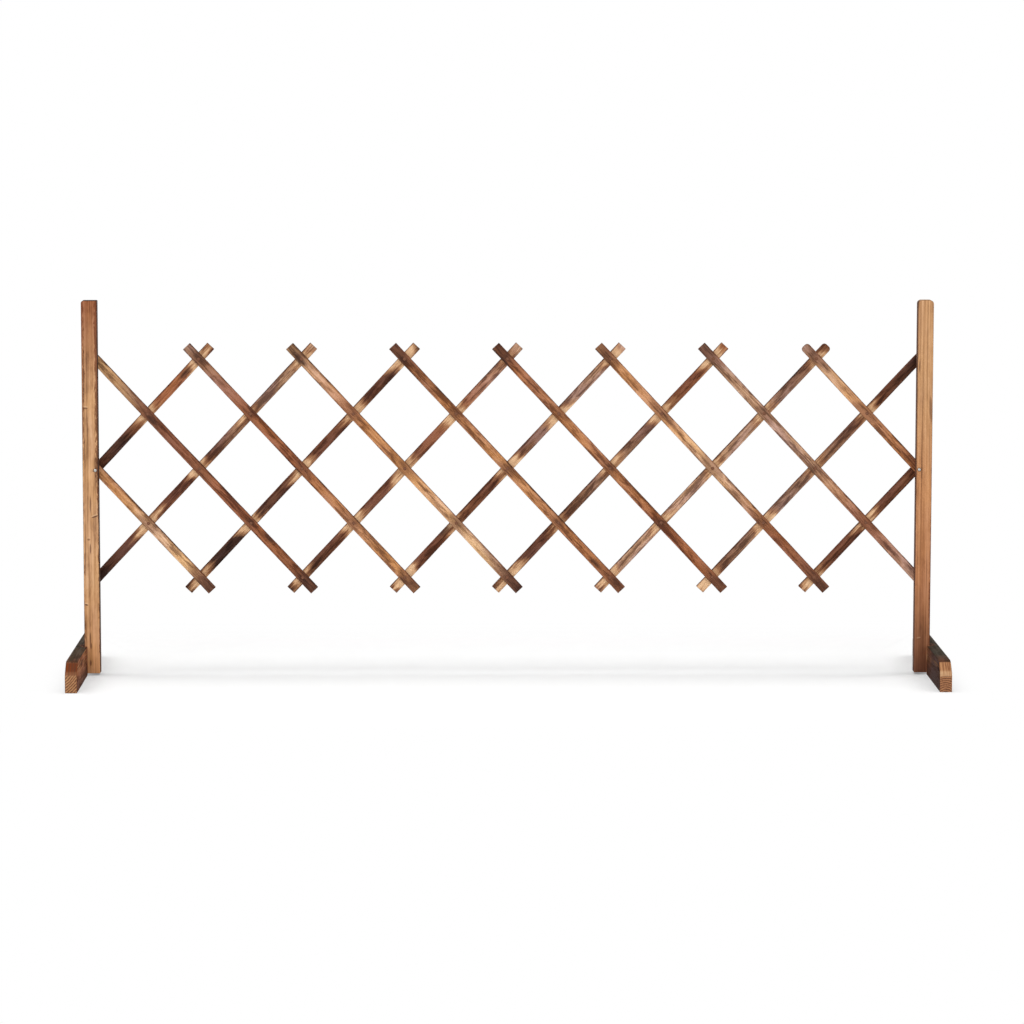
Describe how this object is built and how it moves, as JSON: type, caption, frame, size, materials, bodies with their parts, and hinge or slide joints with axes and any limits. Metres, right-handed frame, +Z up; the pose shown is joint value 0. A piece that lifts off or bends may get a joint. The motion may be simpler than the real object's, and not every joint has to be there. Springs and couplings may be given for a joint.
{
  "type": "expanding lattice trellis",
  "caption": "Free-standing expanding trellis: flat scorched-wood laths pinned in a diamond lattice between footed end posts, folding sideways like scissors to carry climbing plants.",
  "frame": {"origin": "on the ground, midway between the posts and midway along the feet", "axes": "+X along the panel to the right as seen from the front, +Y from the front to the back, +Z up"},
  "size_m": [2.1138, 0.48, 0.92],
  "materials": {
    "lath_wood": "scorched softwood, unvarnished, sawn edges",
    "post_wood": "lightly scorched softwood, planed",
    "foot_wood": "scorched softwood with open end grain",
    "brown_rivet": "brown lacquered steel, worn on the crown",
    "zinc_steel": "bright zinc plate"
  },
  "bodies": {
    "left_stand": {"left_post": "post_wood", "left_foot": "foot_wood", "left_foot_screws": "zinc_steel", "left_pivot_bolt": "zinc_steel", "left_pivot_washer": "zinc_steel", "left_pivot_nut": "zinc_steel"},
    "right_stand": {"right_post": "post_wood", "right_foot": "foot_wood", "right_foot_screws": "zinc_steel", "right_pivot_bolt": "zinc_steel", "right_pivot_washer": "zinc_steel", "right_pivot_nut": "zinc_steel"},
    "front_lath_1": {"front_lath_1": "lath_wood", "front_lath_1_rivets": "brown_rivet"},
    "back_lath_1": {"back_lath_1": "lath_wood"},
    "front_lath_2": {"front_lath_2": "lath_wood", "front_lath_2_rivets": "brown_rivet"},
    "back_lath_2": {"back_lath_2": "lath_wood"},
    "front_lath_3": {"front_lath_3": "lath_wood", "front_lath_3_rivets": "brown_rivet"},
    "back_lath_3": {"back_lath_3": "lath_wood"},
    "front_lath_4": {"front_lath_4": "lath_wood", "front_lath_4_rivets": "brown_rivet"},
    "back_lath_4": {"back_lath_4": "lath_wood"},
    "front_lath_5": {"front_lath_5": "lath_wood", "front_lath_5_rivets": "brown_rivet"},
    "back_lath_5": {"back_lath_5": "lath_wood"},
    "front_lath_6": {"front_lath_6": "lath_wood", "front_lath_6_rivets": "brown_rivet"},
    "back_lath_6": {"back_lath_6": "lath_wood"},
    "front_lath_7": {"front_lath_7": "lath_wood", "front_lath_7_rivets": "brown_rivet"},
    "back_lath_7": {"back_lath_7": "lath_wood"},
    "front_lath_8": {"front_lath_8": "lath_wood", "front_lath_8_rivets": "brown_rivet"},
    "back_lath_8": {"back_lath_8": "lath_wood"},
    "front_lath_9": {"front_lath_9": "lath_wood", "front_lath_9_rivets": "brown_rivet"},
    "back_lath_9": {"back_lath_9": "lath_wood"}
  },
  "joints": [
    {"name": "fold", "type": "hinge", "parent": "left_stand", "child": "back_lath_1", "pos_m": [-1.0039, 0.0226, 0.506], "axis": [0, -1, 0], "range_deg": [0, 39]},
    {"name": "front_lath_1_pivot", "type": "hinge", "parent": "left_stand", "child": "front_lath_1", "pos_m": [-1.0039, 0.0226, 0.506], "axis": [0, 1, 0], "range_deg": [0, 39]},
    {"name": "front_lath_2_pivot", "type": "hinge", "parent": "back_lath_1", "child": "front_lath_2", "pos_m": [-0.87841, 0.0226, 0.64057], "axis": [0, 1, 0], "range_deg": [0, 78]},
    {"name": "front_lath_3_pivot", "type": "hinge", "parent": "back_lath_1", "child": "front_lath_3", "pos_m": [-0.75293, 0.0226, 0.77514], "axis": [0, 1, 0], "range_deg": [0, 78]},
    {"name": "back_lath_2_pivot", "type": "hinge", "parent": "front_lath_3", "child": "back_lath_2", "pos_m": [-0.62744, 0.0226, 0.64057], "axis": [0, -1, 0], "range_deg": [0, 78]},
    {"name": "back_lath_3_pivot", "type": "hinge", "parent": "front_lath_3", "child": "back_lath_3", "pos_m": [-0.50195, 0.0226, 0.506], "axis": [0, -1, 0], "range_deg": [0, 78]},
    {"name": "back_lath_4_pivot", "type": "hinge", "parent": "front_lath_3", "child": "back_lath_4", "pos_m": [-0.37646, 0.0226, 0.37143], "axis": [0, -1, 0], "range_deg": [0, 78]},
    {"name": "back_lath_5_pivot", "type": "hinge", "parent": "front_lath_3", "child": "back_lath_5", "pos_m": [-0.25098, 0.0226, 0.23686], "axis": [0, -1, 0], "range_deg": [0, 78]},
    {"name": "front_lath_4_pivot", "type": "hinge", "parent": "back_lath_5", "child": "front_lath_4", "pos_m": [-0.12549, 0.0226, 0.37143], "axis": [0, 1, 0], "range_deg": [0, 78]},
    {"name": "front_lath_5_pivot", "type": "hinge", "parent": "back_lath_5", "child": "front_lath_5", "pos_m": [0, 0.0226, 0.506], "axis": [0, 1, 0], "range_deg": [0, 78]},
    {"name": "front_lath_6_pivot", "type": "hinge", "parent": "back_lath_5", "child": "front_lath_6", "pos_m": [0.12549, 0.0226, 0.64057], "axis": [0, 1, 0], "range_deg": [0, 78]},
    {"name": "front_lath_7_pivot", "type": "hinge", "parent": "back_lath_5", "child": "front_lath_7", "pos_m": [0.25098, 0.0226, 0.77514], "axis": [0, 1, 0], "range_deg": [0, 78]},
    {"name": "back_lath_6_pivot", "type": "hinge", "parent": "front_lath_7", "child": "back_lath_6", "pos_m": [0.37646, 0.0226, 0.64057], "axis": [0, -1, 0], "range_deg": [0, 78]},
    {"name": "back_lath_7_pivot", "type": "hinge", "parent": "front_lath_7", "child": "back_lath_7", "pos_m": [0.50195, 0.0226, 0.506], "axis": [0, -1, 0], "range_deg": [0, 78]},
    {"name": "back_lath_8_pivot", "type": "hinge", "parent": "front_lath_7", "child": "back_lath_8", "pos_m": [0.62744, 0.0226, 0.37143], "axis": [0, -1, 0], "range_deg": [0, 78]},
    {"name": "back_lath_9_pivot", "type": "hinge", "parent": "front_lath_7", "child": "back_lath_9", "pos_m": [0.75293, 0.0226, 0.23686], "axis": [0, -1, 0], "range_deg": [0, 78]},
    {"name": "front_lath_8_pivot", "type": "hinge", "parent": "back_lath_9", "child": "front_lath_8", "pos_m": [0.87841, 0.0226, 0.37143], "axis": [0, 1, 0], "range_deg": [0, 78]},
    {"name": "front_lath_9_pivot", "type": "hinge", "parent": "back_lath_9", "child": "front_lath_9", "pos_m": [1.0039, 0.0226, 0.506], "axis": [0, 1, 0], "range_deg": [0, 78]},
    {"name": "right_stand_pivot", "type": "hinge", "parent": "back_lath_9", "child": "right_stand", "pos_m": [1.0039, 0.0226, 0.506], "axis": [0, 1, 0], "range_deg": [0, 39]}
  ],
  "couplings": [
    {"joint": "front_lath_1_pivot", "follows": "fold", "ratio": 1},
    {"joint": "front_lath_2_pivot", "follows": "fold", "ratio": 2},
    {"joint": "front_lath_3_pivot", "follows": "fold", "ratio": 2},
    {"joint": "back_lath_2_pivot", "follows": "fold", "ratio": 2},
    {"joint": "back_lath_3_pivot", "follows": "fold", "ratio": 2},
    {"joint": "back_lath_4_pivot", "follows": "fold", "ratio": 2},
    {"joint": "back_lath_5_pivot", "follows": "fold", "ratio": 2},
    {"joint": "front_lath_4_pivot", "follows": "fold", "ratio": 2},
    {"joint": "front_lath_5_pivot", "follows": "fold", "ratio": 2},
    {"joint": "front_lath_6_pivot", "follows": "fold", "ratio": 2},
    {"joint": "front_lath_7_pivot", "follows": "fold", "ratio": 2},
    {"joint": "back_lath_6_pivot", "follows": "fold", "ratio": 2},
    {"joint": "back_lath_7_pivot", "follows": "fold", "ratio": 2},
    {"joint": "back_lath_8_pivot", "follows": "fold", "ratio": 2},
    {"joint": "back_lath_9_pivot", "follows": "fold", "ratio": 2},
    {"joint": "front_lath_8_pivot", "follows": "fold", "ratio": 2},
    {"joint": "front_lath_9_pivot", "follows": "fold", "ratio": 2},
    {"joint": "right_stand_pivot", "follows": "fold", "ratio": 1}
  ]
}
